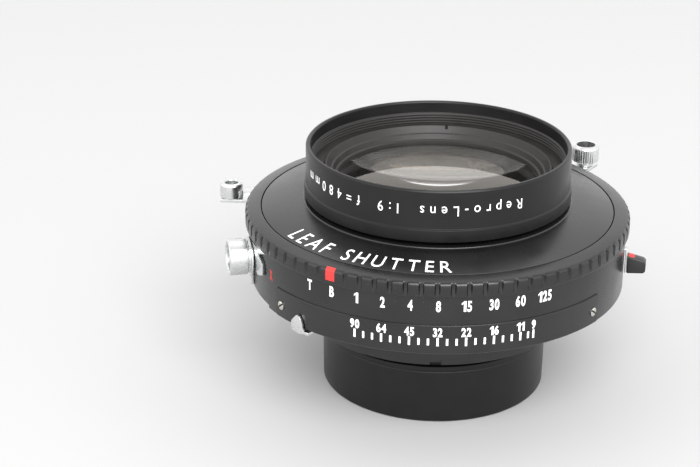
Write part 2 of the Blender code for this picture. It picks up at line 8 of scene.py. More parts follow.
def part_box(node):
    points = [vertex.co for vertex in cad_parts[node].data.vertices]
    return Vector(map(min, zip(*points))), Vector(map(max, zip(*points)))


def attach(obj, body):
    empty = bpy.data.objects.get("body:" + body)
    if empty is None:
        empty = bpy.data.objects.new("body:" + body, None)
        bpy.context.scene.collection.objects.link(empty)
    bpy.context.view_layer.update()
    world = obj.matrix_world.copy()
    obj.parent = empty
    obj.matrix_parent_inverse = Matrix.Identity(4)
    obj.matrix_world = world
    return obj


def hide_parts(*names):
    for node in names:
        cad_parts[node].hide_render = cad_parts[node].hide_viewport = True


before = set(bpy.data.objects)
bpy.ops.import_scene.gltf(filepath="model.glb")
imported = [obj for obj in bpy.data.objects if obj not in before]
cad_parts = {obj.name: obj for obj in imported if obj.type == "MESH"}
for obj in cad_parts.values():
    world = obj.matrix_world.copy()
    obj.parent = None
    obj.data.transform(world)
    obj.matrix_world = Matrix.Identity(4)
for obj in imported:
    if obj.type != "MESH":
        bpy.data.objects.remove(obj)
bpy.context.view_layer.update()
mm = 0.001
print("frame loaded:", len(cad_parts), "nodes")


def srgb(code):
    # An sRGB hex colour as linear RGBA
    parts = [int(code[start:start + 2], 16) / 255 for start in (1, 3, 5)]
    return (*[c / 12.92 if c <= 0.04045 else ((c + 0.055) / 1.055) ** 2.4 for c in parts], 1.0)


def addNode(tree, kind, inputs=None, stops=None, **settings):
    # Adds one node, sets its properties, then links or sets each input
    made = tree.nodes.new(kind)
    for name, value in settings.items():
        setattr(made, name, value)
    for index, (place, colour) in enumerate(stops or ()):
        stop = made.color_ramp.elements[index] if index < 2 else made.color_ramp.elements.new(place)
        stop.position = place
        stop.color = colour
    for key, value in (inputs or {}).items():
        if isinstance(value, bpy.types.NodeSocket):
            tree.links.new(value, made.inputs[key])
        else:
            made.inputs[key].default_value = value
    return made


def polar(radius, azimuth, z=0.0):
    # Azimuth runs from -Y towards +X, as the scales do
    turn = math.radians(azimuth)
    return Vector((radius * math.sin(turn), -radius * math.cos(turn), z))


def rounded(profile, edge, closed=True):
    # Rounds every real corner of a (radius, z) profile by the edge size
    points = []
    count = len(profile)
    for index, point in enumerate(profile):
        here = Vector(point)
        if not closed and index in (0, count - 1):
            points.append(tuple(here))
            continue
        before = Vector(profile[index - 1]) - here
        after = Vector(profile[(index + 1) % count]) - here
        if before.length < 1e-6 or after.length < 1e-6 or before.angle(after) > math.radians(165):
            points.append(tuple(here))
            continue
        first = here + before.normalized() * min(edge, before.length * 0.42)
        last = here + after.normalized() * min(edge, after.length * 0.42)
        for step in range(4):
            t = step / 3
            points.append(tuple(first * (1 - t) ** 2 + here * 2 * t * (1 - t) + last * t * t))
    return points


def spun(profile, steps=192):
    # Turns a (radius, z) profile about Z; one that starts on the axis also ends there
    bm = bmesh.new()
    rows = []
    for radius, z in profile:
        if radius < 1e-6:
            rows.append([bm.verts.new((0.0, 0.0, z))] * steps)
        else:
            rows.append([bm.verts.new(polar(radius, 360.0 * s / steps, z)) for s in range(steps)])
    onAxis = profile[0][0] < 1e-6
    for index in range(len(rows) - (1 if onAxis else 0)):
        here, there = rows[index], rows[(index + 1) % len(rows)]
        for step in range(steps):
            after = (step + 1) % steps
            corners = []
            for vert in (here[step], here[after], there[after], there[step]):
                if vert not in corners:
                    corners.append(vert)
            bm.faces.new(corners)
    return bm


def added(name, data):
    made = bpy.data.objects.new(name, data)
    bpy.context.scene.collection.objects.link(made)
    return made


def asObject(name, bm, scale=mm, place=None):
    bmesh.ops.recalc_face_normals(bm, faces=bm.faces)
    if place is not None:
        bm.transform(place)
    bm.transform(Matrix.Scale(scale, 4))
    mesh = bpy.data.meshes.new(name)
    bm.to_mesh(mesh)
    bm.free()
    return added(name, mesh)


def applied(piece):
    # Turns what the modifiers give into the piece's own mesh
    bpy.context.view_layer.update()
    ready = piece.evaluated_get(bpy.context.evaluated_depsgraph_get())
    mesh = bpy.data.meshes.new_from_object(ready)
    piece.modifiers.clear()
    piece.data = mesh
    return piece


def cutBy(piece, cutters):
    for cutter in cutters:
        tool = piece.modifiers.new(cutter.name, "BOOLEAN")
        tool.operation = "DIFFERENCE"
        tool.solver = "EXACT"
        tool.object = cutter
    applied(piece)
    for cutter in cutters:
        bpy.data.objects.remove(cutter, do_unlink=True)
    return piece


def fitted(piece, look, body, slotName, *nodes, angle=32.0):
    # Gives a finished piece its material, shading and body, and hides the CAD nodes it stands for
    if look is not None:
        piece.data.materials.clear()
        piece.data.materials.append(look)
    piece.data.shade_smooth()
    piece.data.set_sharp_from_angle(angle=math.radians(angle))
    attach(piece, body)
    if nodes:
        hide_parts(*nodes)
    return piece


def turnedPiece(node, shape, look, body="case", cutters=(), steps=192):
    # Points are (inset from the node's outer radius, rise above its bottom), in millimetres
    low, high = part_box(node)
    radius, bottom = high.x / mm, low.z / mm
    profile = [(radius - inset, bottom + rise) for inset, rise in shape["profile"]]
    piece = asObject(node + "_turned", spun(rounded(profile, shape["edge"]), steps))
    if cutters:
        cutBy(piece, cutters)
    fitted(piece, look, body, node, node)
    # Faces inside the throat take the lighter throat material, which is painted light
    if "throat" in shape:
        inset, rise, riseEnd, throatLook = shape["throat"]
        piece.data.materials.append(throatLook)
        for polygon in piece.data.polygons:
            centre = polygon.center / mm
            if centre.xy.length < radius - inset and rise < centre.z - bottom < riseEnd:
                polygon.material_index = 1
    return piece


def bridged(bm, columns, closed=True):
    # Joins each row of points to the next with faces
    for left, right in zip(columns, columns[1:]):
        for i in range(len(left) - (0 if closed else 1)):
            j = (i + 1) % len(left)
            bm.faces.new((left[i], left[j], right[j], right[i]))


def sectorShape(name, section, start, end, steps):
    # Carries a closed (radius, z) section round from one azimuth to another
    bm = bmesh.new()
    columns = []
    for step in range(steps + 1):
        azimuth = start + (end - start) * step / steps
        columns.append([bm.verts.new(polar(radius, azimuth, z)) for radius, z in section])
    bridged(bm, columns)
    bm.faces.new(columns[0])
    bm.faces.new(list(reversed(columns[-1])))
    return asObject(name, bm)


def sectorBlock(name, inner, outer, start, end, bottom, top, steps=6):
    # A curved block between two radii, azimuths and heights
    corners = ((inner, bottom), (outer, bottom), (outer, top), (inner, top))
    return sectorShape(name, corners, start, end, steps)


def wrappedSheet(name, outline, inner, outer):
    # Wraps an (azimuth, z) outline round the body as a sheet of even thickness
    strips = 12
    bm = bmesh.new()
    bm.faces.new([bm.verts.new((azimuth, z, 0.0)) for azimuth, z in outline])
    first, last = min(point[0] for point in outline), max(point[0] for point in outline)
    for strip in range(1, strips):
        bmesh.ops.bisect_plane(bm, geom=bm.verts[:] + bm.edges[:] + bm.faces[:],
                               plane_co=(first + (last - first) * strip / strips, 0.0, 0.0),
                               plane_no=(1.0, 0.0, 0.0))
    raised = bmesh.ops.extrude_face_region(bm, geom=bm.faces[:], use_keep_orig=True)
    for item in raised["geom"]:
        if isinstance(item, bmesh.types.BMVert):
            item.co.z = 1.0
    for vert in bm.verts:
        vert.co = polar(inner + vert.co.z * (outer - inner), vert.co.x, vert.co.y)
    return asObject(name, bm)


def eased(piece, edge, segments=2):
    # Rounds a piece's sharp edges
    bevel = piece.modifiers.new("easedEdges", "BEVEL")
    bevel.width = edge * mm
    bevel.segments = segments
    bevel.limit_method = "ANGLE"
    bevel.angle_limit = math.radians(25.0)
    return applied(piece)


def softCopy(node, look, body, edge, segments=2, cutters=()):
    # A copy of a CAD part with its sharp edges eased
    piece = added(node + "_eased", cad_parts[node].data.copy())
    bm = bmesh.new()
    bm.from_mesh(piece.data)
    bmesh.ops.remove_doubles(bm, verts=bm.verts, dist=1e-6)
    bmesh.ops.dissolve_limit(bm, angle_limit=math.radians(1.0), verts=bm.verts, edges=bm.edges)
    bm.to_mesh(piece.data)
    bm.free()
    if cutters:
        cutBy(piece, cutters)
    return fitted(eased(piece, edge, segments), look, body, node, node)


def cuboid(name, size, centre, place):
    bm = bmesh.new()
    bmesh.ops.create_cube(bm, size=1.0)
    bm.transform(Matrix.Translation(centre) @ Matrix.Diagonal((*size, 1.0)))
    return asObject(name, bm, place=place)


def outwardFrame(azimuth, z, roll=0.0):
    # Puts a part's own Z along the radius at this azimuth, in millimetres
    outward = polar(1.0, azimuth)
    sideways = Vector((-outward.y, outward.x, 0.0))
    up = outward.cross(sideways)
    frameMatrix = Matrix((sideways, up, outward)).transposed().to_4x4()
    return (Matrix.Translation((0.0, 0.0, z)) @ frameMatrix
            @ Matrix.Rotation(math.radians(roll), 4, "Z"))


def startTree(name, sockets):
    tree = bpy.data.node_groups.new(name, "GeometryNodeTree")
    for label, kind in sockets.items():
        tree.interface.new_socket(label, in_out="INPUT", socket_type="NodeSocket" + kind)
    tree.interface.new_socket("Geometry", in_out="OUTPUT", socket_type="NodeSocketGeometry")
    return tree, addNode(tree, "NodeGroupInput").outputs


def repeatTree():
    # Copies of a piece at equal azimuths; the first may be another piece
    tree, given = startTree("repeatRound", {
        "Piece": "Object", "First Piece": "Object", "Count": "Int", "Own First": "Int",
        "First Azimuth": "Float", "Step": "Float", "Finish": "Material"})
    index = addNode(tree, "GeometryNodeInputIndex").outputs[0]
    line = addNode(tree, "GeometryNodeMeshLine", {"Count": given["Count"], "Offset": (0.0, 0.0, 0.0)})
    points = addNode(tree, "GeometryNodeMeshToPoints", {"Mesh": line.outputs[0]}).outputs[0]
    turned = addNode(tree, "ShaderNodeMath", {0: index, 1: given["Step"], 2: given["First Azimuth"]},
                     operation="MULTIPLY_ADD").outputs[0]
    angle = addNode(tree, "ShaderNodeMath", {0: turned}, operation="RADIANS").outputs[0]
    rotation = addNode(tree, "ShaderNodeCombineXYZ", {"Z": angle}).outputs[0]
    isFirst = addNode(tree, "FunctionNodeCompare", {2: index, 3: given["Own First"]},
                      data_type="INT", operation="LESS_THAN").outputs[0]
    isRest = addNode(tree, "FunctionNodeBooleanMath", {0: isFirst}, operation="NOT").outputs[0]
    both = addNode(tree, "GeometryNodeJoinGeometry")
    for source, chosen in (("Piece", isRest), ("First Piece", isFirst)):
        shape = addNode(tree, "GeometryNodeObjectInfo", {"Object": given[source]})
        copies = addNode(tree, "GeometryNodeInstanceOnPoints",
                         {"Points": points, "Selection": chosen,
                          "Instance": shape.outputs["Geometry"], "Rotation": rotation})
        tree.links.new(copies.outputs[0], both.inputs[0])
    real = addNode(tree, "GeometryNodeRealizeInstances", {0: both.outputs[0]})
    merged = addNode(tree, "GeometryNodeMergeByDistance", {"Geometry": real.outputs[0],
                                                           "Distance": 0.002 * mm})
    finish = addNode(tree, "GeometryNodeSetMaterial", {"Geometry": merged.outputs[0],
                                                       "Material": given["Finish"]})
    addNode(tree, "NodeGroupOutput", {0: finish.outputs[0]})
    return tree


def threadTree():
    # One helical ridge: a small triangle swept along a spiral
    tree, given = startTree("threadRidge", {
        "Radius": "Float", "Pitch": "Float", "Turns": "Float", "Bottom": "Float", "Ridge": "Float",
        "Finish": "Material"})
    height = addNode(tree, "ShaderNodeMath", {0: given["Pitch"], 1: given["Turns"]},
                     operation="MULTIPLY").outputs[0]
    spiral = addNode(tree, "GeometryNodeCurveSpiral",
                     {"Resolution": 128, "Rotations": given["Turns"], "Start Radius": given["Radius"],
                      "End Radius": given["Radius"], "Height": height})
    section = addNode(tree, "GeometryNodeCurvePrimitiveCircle",
                      {"Resolution": 4, "Radius": given["Ridge"]}, mode="RADIUS")
    swept = addNode(tree, "GeometryNodeCurveToMesh",
                    {"Curve": spiral.outputs[0], "Profile Curve": section.outputs[0],
                     "Fill Caps": True})
    lift = addNode(tree, "ShaderNodeCombineXYZ", {"Z": given["Bottom"]}).outputs[0]
    moved = addNode(tree, "GeometryNodeTransform", {"Geometry": swept.outputs[0],
                                                    "Translation": lift})
    real = addNode(tree, "GeometryNodeRealizeInstances", {0: moved.outputs[0]})
    finish = addNode(tree, "GeometryNodeSetMaterial", {"Geometry": real.outputs[0],
                                                       "Material": given["Finish"]})
    addNode(tree, "NodeGroupOutput", {0: finish.outputs[0]})
    return tree


def grown(name, tree, values):
    # Runs a node tree once and keeps its plain mesh
    made = asObject(name, bmesh.new())
    modifier = made.modifiers.new(name, "NODES")
    modifier.node_group = tree
    for socket in tree.interface.items_tree:
        if socket.in_out == "INPUT" and socket.name in values:
            modifier[socket.identifier] = values[socket.name]
    applied(made)
    for value in values.values():
        if isinstance(value, bpy.types.Object):
            bpy.data.objects.remove(value, do_unlink=True)
    return made


repeatRound = repeatTree()
threadRidge = threadTree()


def startMaterial(name, values):
    look = bpy.data.materials.new(name)
    look.use_nodes = True
    tree = look.node_tree
    shader = tree.nodes["Principled BSDF"]
    for key, value in values.items():
        shader.inputs[key].default_value = value
    place = addNode(tree, "ShaderNodeTexCoord").outputs["Object"]
    return look, tree, shader, place


def perMetre(size):
    # Noise and Voronoi scale for features of this size in millimetres
    return 1.0 / (size * mm)


def bandScale(period):
    # A Wave texture's scale for this period in millimetres
    return 2 * math.pi / (20 * period * mm)


def dressed(tree, shader, base, texture, low, high, smooth, rough, height=None, strength=0.0,
            depth=0.0):
    # Links the shader's colour, a roughness that follows a texture, and relief, its depth in mm
    spread = addNode(tree, "ShaderNodeMapRange", {0: texture, 1: low, 2: high, 3: smooth,
                                                  4: rough}).outputs[0]
    tree.links.new(base, shader.inputs["Base Color"])
    tree.links.new(spread, shader.inputs["Roughness"])
    if height is not None:
        bump = addNode(tree, "ShaderNodeBump", {"Height": height, "Strength": strength,
                                                "Distance": depth * mm}).outputs[0]
        tree.links.new(bump, shader.inputs["Normal"])


def wearAndHighlight(tree, place, base, bands, spots, wornAndLitTone):
    # Mixes in a pale metal tone: in bands at given heights, partly worn paint and partly a painted
    # highlight on the edge, and at spots where handling wears the finish
    height = addNode(tree, "ShaderNodeSeparateXYZ", {0: place}).outputs["Z"]
    patches = addNode(tree, "ShaderNodeTexNoise", {"Vector": place, "Scale": perMetre(3.2),
                                                   "Detail": 5.0, "Roughness": 0.7}).outputs[0]
    for z, half, amount in bands:
        inBand = addNode(tree, "ShaderNodeMath", {0: height, 1: z * mm, 2: half * mm},
                         operation="COMPARE").outputs[0]
        wornAndLitShare = addNode(tree, "ShaderNodeMapRange", {0: patches, 1: 0.42, 2: 0.68, 3: amount * 0.25,
                                                      4: amount}).outputs[0]
        share = addNode(tree, "ShaderNodeMath", {0: inBand, 1: wornAndLitShare}, operation="MULTIPLY").outputs[0]
        base = addNode(tree, "ShaderNodeMix", {0: share, 6: base, 7: srgb(wornAndLitTone)},
                       data_type="RGBA").outputs[2]
    for centre, size, amount in spots:
        away = addNode(tree, "ShaderNodeVectorMath", {0: place, 1: centre * mm},
                       operation="DISTANCE").outputs["Value"]
        near = addNode(tree, "ShaderNodeMapRange", {0: away, 1: size * mm * 0.4, 2: size * mm,
                                                    3: amount, 4: 0.0}).outputs[0]
        broken = addNode(tree, "ShaderNodeMapRange", {0: patches, 1: 0.35, 2: 0.6}).outputs[0]
        share = addNode(tree, "ShaderNodeMath", {0: near, 1: broken}, operation="MULTIPLY").outputs[0]
        base = addNode(tree, "ShaderNodeMix", {0: share, 6: base, 7: srgb(wornAndLitTone)},
                       data_type="RGBA").outputs[2]
    return base


def sprayedEnamel(name, dark, light, roughness, dust=0.0, bands=(), spots=(), index=1.5):
    # Satin black stove enamel, sprayed: a fine grain breaks the sheen, with a little dust on it
    look, tree, shader, place = startMaterial(name, {"IOR": index})
    cloud = addNode(tree, "ShaderNodeTexNoise", {"Vector": place, "Scale": perMetre(9.0),
                                                 "Detail": 3.0}).outputs[0]
    base = addNode(tree, "ShaderNodeValToRGB", {0: cloud},
                   stops=((0.35, srgb(dark)), (0.65, srgb(light)))).outputs[0]
    if dust:
        cells = addNode(tree, "ShaderNodeTexVoronoi", {"Vector": place, "Scale": perMetre(1.7)})
        near = addNode(tree, "ShaderNodeMath", {0: cells.outputs["Distance"], 1: 0.045},
                       operation="LESS_THAN").outputs[0]
        pick = addNode(tree, "ShaderNodeSeparateColor", {0: cells.outputs["Color"]}).outputs[0]
        chosen = addNode(tree, "ShaderNodeMath", {0: pick, 1: 0.72},
                         operation="GREATER_THAN").outputs[0]
        speck = addNode(tree, "ShaderNodeMath", {0: near, 1: chosen}, operation="MULTIPLY").outputs[0]
        amount = addNode(tree, "ShaderNodeMath", {0: speck, 1: dust}, operation="MULTIPLY").outputs[0]
        base = addNode(tree, "ShaderNodeMix", {0: amount, 6: base, 7: srgb("#8d8b87")},
                       data_type="RGBA").outputs[2]
    if bands or spots:
        base = wearAndHighlight(tree, place, base, bands, spots, "#a19f9a")
    # Spray grain is about 0.1 mm; drawn at 0.28 mm so that it shows
    grain = addNode(tree, "ShaderNodeTexNoise", {"Vector": place, "Scale": perMetre(0.28),
                                                 "Detail": 2.0}).outputs[0]
    dressed(tree, shader, base, cloud, 0.3, 0.7, roughness - 0.03, roughness + 0.05, grain, 0.15, 0.02)
    return look


def anodised(name, dark, light, roughness, period, index=1.5):
    # Black anodised aluminium, lathe turned: faint rings run round it and catch the light
    look, tree, shader, place = startMaterial(name, {"IOR": index})
    rings = addNode(tree, "ShaderNodeTexWave", {"Vector": place, "Scale": bandScale(period),
                                                "Distortion": 0.6, "Detail": 1.0},
                    wave_type="BANDS", bands_direction="Z").outputs[1]
    cloud = addNode(tree, "ShaderNodeTexNoise", {"Vector": place, "Scale": perMetre(6.0),
                                                 "Detail": 4.0}).outputs[0]
    base = addNode(tree, "ShaderNodeValToRGB", {0: cloud},
                   stops=((0.3, srgb(dark)), (0.7, srgb(light)))).outputs[0]
    dressed(tree, shader, base, cloud, 0.3, 0.7, roughness - 0.04, roughness + 0.04, rings, 0.12, 0.01)
    return look


def platedMetal(name, colour, worn, roughness, scratch):
    # Bright plate over turned brass: clear reflections with fine handling marks
    look, tree, shader, place = startMaterial(name, {"Metallic": 1.0})
    marks = addNode(tree, "ShaderNodeTexNoise", {"Vector": place, "Scale": perMetre(scratch),
                                                 "Detail": 5.0, "Roughness": 0.65}).outputs[0]
    base = addNode(tree, "ShaderNodeValToRGB", {0: marks},
                   stops=((0.4, srgb(colour)), (0.75, srgb(worn)))).outputs[0]
    dressed(tree, shader, base, marks, 0.35, 0.7, roughness, roughness + 0.14, marks, 0.1, 0.01)
    return look


def fillPaint(name, colour, thin):
    # Paint wiped into engraved marks: flat, slightly uneven in cover
    look, tree, shader, place = startMaterial(name, {"IOR": 1.5})
    cover = addNode(tree, "ShaderNodeTexNoise", {"Vector": place, "Scale": perMetre(0.5),
                                                 "Detail": 2.0}).outputs[0]
    base = addNode(tree, "ShaderNodeValToRGB", {0: cover},
                   stops=((0.25, srgb(thin)), (0.45, srgb(colour)))).outputs[0]
    dressed(tree, shader, base, cover, 0.3, 0.7, 0.42, 0.6)
    return look


def coatedGlass(name, tint, thickness):
    # Polished optical glass with a single-layer coating, which tints the reflections
    return startMaterial(name, {
        "Base Color": srgb(tint), "IOR": 1.85, "Transmission Weight": 1.0, "Roughness": 0.0,
        "Thin Film Thickness": thickness, "Thin Film IOR": 1.38})[0]


def brushedMetal(name, dark, light, roughness, grain, metallic=1.0):
    # Rolled and brushed sheet: short streaks across the part
    look, tree, shader, place = startMaterial(name, {"Metallic": metallic})
    stretched = addNode(tree, "ShaderNodeMapping", {"Vector": place,
                                                    "Scale": (1.0, 0.12, 1.0)}).outputs[0]
    streaks = addNode(tree, "ShaderNodeTexNoise", {"Vector": stretched, "Scale": perMetre(grain),
                                                   "Detail": 4.0}).outputs[0]
    base = addNode(tree, "ShaderNodeValToRGB", {0: streaks},
                   stops=((0.3, srgb(dark)), (0.7, srgb(light)))).outputs[0]
    dressed(tree, shader, base, streaks, 0.3, 0.7, roughness - 0.05, roughness + 0.08, streaks,
            0.15, 0.01)
    return look


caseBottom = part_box("shutter_housing")[0].z / mm
# The pale band along the bottom edge is partly worn paint and partly a painted highlight of the rounded
# edge; the two spots are worn paint
caseEnamel = sprayedEnamel("satinBlackEnamel", "#141415", "#19191a", 0.27, dust=0.35, index=1.51,
                           bands=((caseBottom + 0.08, 0.1, 0.35),),
                           spots=((polar(50.9, -14.5, caseBottom + 0.3), 2.6, 0.9),
                                  (polar(50.9, 37.0, caseBottom + 0.2), 1.2, 0.6)))
# The scale plate's enamel is cleaner, so its numbers stand out
plateEnamel = sprayedEnamel("scalePlateEnamel", "#151516", "#1a1a1b", 0.28, index=1.51)
# Mat lacquer inside swallows the light; the sheet of it in the screw slots is painted shade
insideLacquer = sprayedEnamel("matBlackLacquer", "#141313", "#191817", 0.55)
blackBarrel = anodised("blackAnodisedBarrel", "#121212", "#161616", 0.34, 0.55, index=1.36)
blackRings = anodised("blackAnodisedRings", "#1c1b1b", "#222120", 0.32, 0.45)
# The throat's anodising is dull, and its colour is painted lighter than the barrel's: painted light for
# the light from above that the threads catch, so they read as soft grey rings
paintedLitThroat = anodised("blackAnodisedThroatPaintedLight", "#201f1e", "#262523", 0.45, 0.4, index=1.42)
chromePlate = platedMetal("brightChromePlate", "#dcdedd", "#c6c8c8", 0.22, 0.8)
nickelPlate = platedMetal("nickelPlate", "#cfcdc6", "#b4b1a8", 0.22, 0.5)
whiteFill = fillPaint("whiteFillPaint", "#fbfbf8", "#d9d9d4")
redFill = fillPaint("redFillPaint", "#d0302d", "#b32724")
frontGlass = coatedGlass("coatedCrownGlass", "#fdfcfb", 45.0)
innerGlass = coatedGlass("coatedFlintGlass", "#fbfaf7", 45.0)
blackSteel = brushedMetal("blackenedSpringSteel", "#1c1b1c", "#222122", 0.42, 0.5, 0.3)
turnedBrass = brushedMetal("turnedBrass", "#b8924a", "#cfa95c", 0.28, 0.4)
# Moulded nylon has a fine mould texture and soft highlights
mouldedNylon = sprayedEnamel("mouldedBlackNylon", "#1b1a1a", "#201f1e", 0.33)
print("materials made")


fontFacts = {}


def capShare():
    # Height of a capital in the built-in font, as a share of its size
    if "cap" not in fontFacts:
        box = glyphFlat("capProbe", "H", 1.0, 1.0, 0.0, 0.01)
        fontFacts["cap"] = max(v.co.y for v in box.data.vertices)
        bpy.data.objects.remove(box, do_unlink=True)
    return fontFacts["cap"]


def glyphFlat(name, glyph, size, narrow, bold, depth):
    # One flat raised character in millimetres, as a mesh
    curve = bpy.data.curves.new(name, "FONT")
    curve.body = glyph
    curve.size = size
    curve.offset = bold
    curve.extrude = depth / 2
    curve.resolution_u = 4
    text = added(name + "Curve", curve)
    bpy.context.view_layer.update()
    mesh = bpy.data.meshes.new_from_object(text.evaluated_get(bpy.context.evaluated_depsgraph_get()))
    bpy.data.objects.remove(text, do_unlink=True)
    for vert in mesh.vertices:
        vert.co.x *= narrow
    return added(name, mesh)


def flaggedOne(name, style):
    # The scales' figure 1: a stem with a short flag
    tall, stem, swell = style["height"], style["stem"], style["bold"]
    outline = [(0.0, -swell), (stem, -swell), (stem, tall + swell), (stem * 0.2, tall + swell),
               (-stem * 0.85, tall * 0.83), (-stem * 0.85, tall * 0.66), (0.0, tall * 0.79)]
    bm = bmesh.new()
    half = style["depth"] / 2
    low, high = [[bm.verts.new((x, y, z)) for x, y in outline] for z in (-half, half)]
    bridged(bm, [low, high])
    bm.faces.new(list(reversed(low)))
    bm.faces.new(high)
    return asObject(name, bm, 1.0)


def setWord(name, word, style, span=None):
    # Sets glyphs side by side by their inked width, centred; a span in millimetres spreads them
    spaceShare = 0.32
    size = style["height"] / capShare()
    glyphs = []
    for glyph in word:
        if glyph == " ":
            glyphs.append((None, 0.0, style["height"] * spaceShare))
            continue
        if glyph == "1" and "stem" in style:
            flat = flaggedOne(name + "Flat", style)
        else:
            flat = glyphFlat(name + "Flat", glyph, size, style["narrow"], style["bold"], style["depth"])
        across = [vert.co.x for vert in flat.data.vertices]
        glyphs.append((flat, min(across), max(across)))
    inked = sum(right - left for flat, left, right in glyphs)
    gap = style["gap"] if span is None else (span - inked) / (len(glyphs) - 1)
    pen = -(inked + gap * (len(glyphs) - 1)) / 2
    bm = bmesh.new()
    for flat, left, right in glyphs:
        if flat is not None:
            for vert in flat.data.vertices:
                vert.co.x += pen - left
            bm.from_mesh(flat.data)
            bpy.data.objects.remove(flat, do_unlink=True)
        pen += right - left + gap
    return bm


def lettering(name, items, style, look, body, slotName, wrap):
    # Joins several words, each bent into place; an item may give its span in degrees
    bm = bmesh.new()
    for word, azimuth, *spans in items:
        span = math.radians(spans[0]) * style["round"] if spans else None
        flat = setWord(name, word, style, span)
        for vert in flat.verts:
            vert.co = wrap(azimuth, vert.co) * mm
        mesh = bpy.data.meshes.new(name + "Word")
        flat.to_mesh(mesh)
        flat.free()
        bm.from_mesh(mesh)
        bpy.data.meshes.remove(mesh)
    bmesh.ops.remove_doubles(bm, verts=bm.verts, dist=1e-7)
    return fitted(asObject(name, bm, 1.0), look, body, slotName, angle=25.0)


def aroundWall(radius, baseline, upright=1.0):
    # Text on a wall; upright -1 turns it upside down
    def wrap(azimuth, point):
        turn = azimuth + math.degrees(upright * point.x / radius)
        return polar(radius + point.z, turn, baseline + upright * point.y)
    return wrap


def lensPiece(node, shape, look, body="case"):
    # A lens between two spherical faces, with a ground and blackened edge
    low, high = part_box(node)
    radius, bottom = high.x / mm, low.z / mm
    rings = 24

    def face(edge, apex):
        sag = apex - edge
        ball = (radius ** 2 + sag ** 2) / (2 * sag)
        points = []
        for step in range(rings + 1):
            r = radius * (1 - step / rings)
            height = math.copysign(math.sqrt(ball ** 2 - r * r), ball)
            points.append((r, bottom + apex - ball + height))
        return points

    profile = list(reversed(face(shape["frontEdge"], shape["frontApex"])))
    profile += face(shape["backEdge"], shape["backApex"])
    piece = asObject(node + "_polished", spun(profile, 160))
    piece.data.materials.append(look)
    piece.data.materials.append(insideLacquer)
    for polygon in piece.data.polygons:
        onEdge = polygon.normal.z ** 2 < 0.05
        if onEdge:
            polygon.material_index = 1
    return fitted(piece, None, body, node, node, angle=40.0)


frontElement = {"frontEdge": 4.5, "frontApex": 6.0, "backEdge": 3.3, "backApex": 0.0}
frontInner = {"frontEdge": 3.7, "frontApex": 1.5, "backEdge": 0.0, "backApex": 0.6}
rearInner = {"frontEdge": 3.9, "frontApex": 3.3, "backEdge": 0.0, "backApex": 1.1}
rearElement = {"frontEdge": 4.6, "frontApex": 5.6, "backEdge": 1.6, "backApex": 0.0}
lensPiece("front_outer_element", frontElement, frontGlass)
lensPiece("front_inner_element", frontInner, innerGlass)
lensPiece("rear_inner_element", rearInner, innerGlass)
lensPiece("rear_outer_element", rearElement, frontGlass)
print("lens elements made")


# The throat entry gives the faces inside the threads the lighter anodising, painted light; the thread
# ridge below takes it too
frontBarrel = {"edge": 0.09, "throat": (1.62, 12.2, 19.35, paintedLitThroat), "profile": [
    (8.3, 0.0), (6.35, 0.0), (6.35, 8.8), (1.8, 8.8), (1.8, 9.1), (0.0, 9.1), (0.0, 12.2),
    (0.4, 12.45), (0.4, 22.15), (0.75, 22.6), (1.35, 22.6), (1.65, 22.2), (1.7, 19.4), (2.0, 19.2),
    (2.0, 16.0), (5.1, 16.0), (5.1, 12.1), (7.5, 12.1), (7.5, 8.4), (8.3, 8.4)]}
filterThread = {"pitch": 0.75, "turns": 4.2, "ridge": 0.22, "rise": 16.1, "inset": 1.98}
frontRetainer = {"edge": 0.06, "halfSlot": 0.8, "slotDepth": 0.9, "slots": (-5.2, 174.8), "profile": [
    (3.5, 0.0), (0.0, 0.0), (0.0, 4.5), (0.2, 4.7), (0.6, 4.7), (0.95, 4.1), (1.7, 2.9), (2.2, 2.7),
    (2.7, 1.4), (3.3, 1.2)]}

turnedPiece("front_barrel", frontBarrel, blackBarrel)
barrelLow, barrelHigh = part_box("front_barrel")
ridge = grown("filter_thread", threadRidge, {
    "Radius": barrelHigh.x - filterThread["inset"] * mm, "Pitch": filterThread["pitch"] * mm,
    "Turns": filterThread["turns"], "Bottom": barrelLow.z + filterThread["rise"] * mm,
    "Ridge": filterThread["ridge"] * mm, "Finish": paintedLitThroat})
fitted(ridge, None, "case", "front_barrel", angle=60.0)

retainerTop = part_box("front_retaining_ring")[1].z / mm
spannerSlots = [sectorBlock(f"spannerSlot{turn}", 28.6, 30.4, turn - frontRetainer["halfSlot"],
                            turn + frontRetainer["halfSlot"],
                            retainerTop - frontRetainer["slotDepth"], retainerTop + 1)
                for turn in frontRetainer["slots"]]
# The retaining ring takes the lighter throat anodising too, painted light on its rim
turnedPiece("front_retaining_ring", frontRetainer, paintedLitThroat, cutters=spannerSlots)

barrelWall = barrelHigh.x / mm - 0.4
barrelStyle = {"height": 2.6, "narrow": 0.88, "bold": 0.0, "depth": 0.08, "round": barrelWall,
               "belowRim": 4.0}
barrelWords = [("Repro-Lens", 14.0, 44.0), ("1:9", -21.5, 9.0), ("f=480mm", -52.8, 36.4)]
lettering("barrel_lettering", barrelWords, barrelStyle, whiteFill, "case", "front_barrel",
          aroundWall(barrelWall, barrelHigh.z / mm - barrelStyle["belowRim"], -1.0))
print("front cell made")


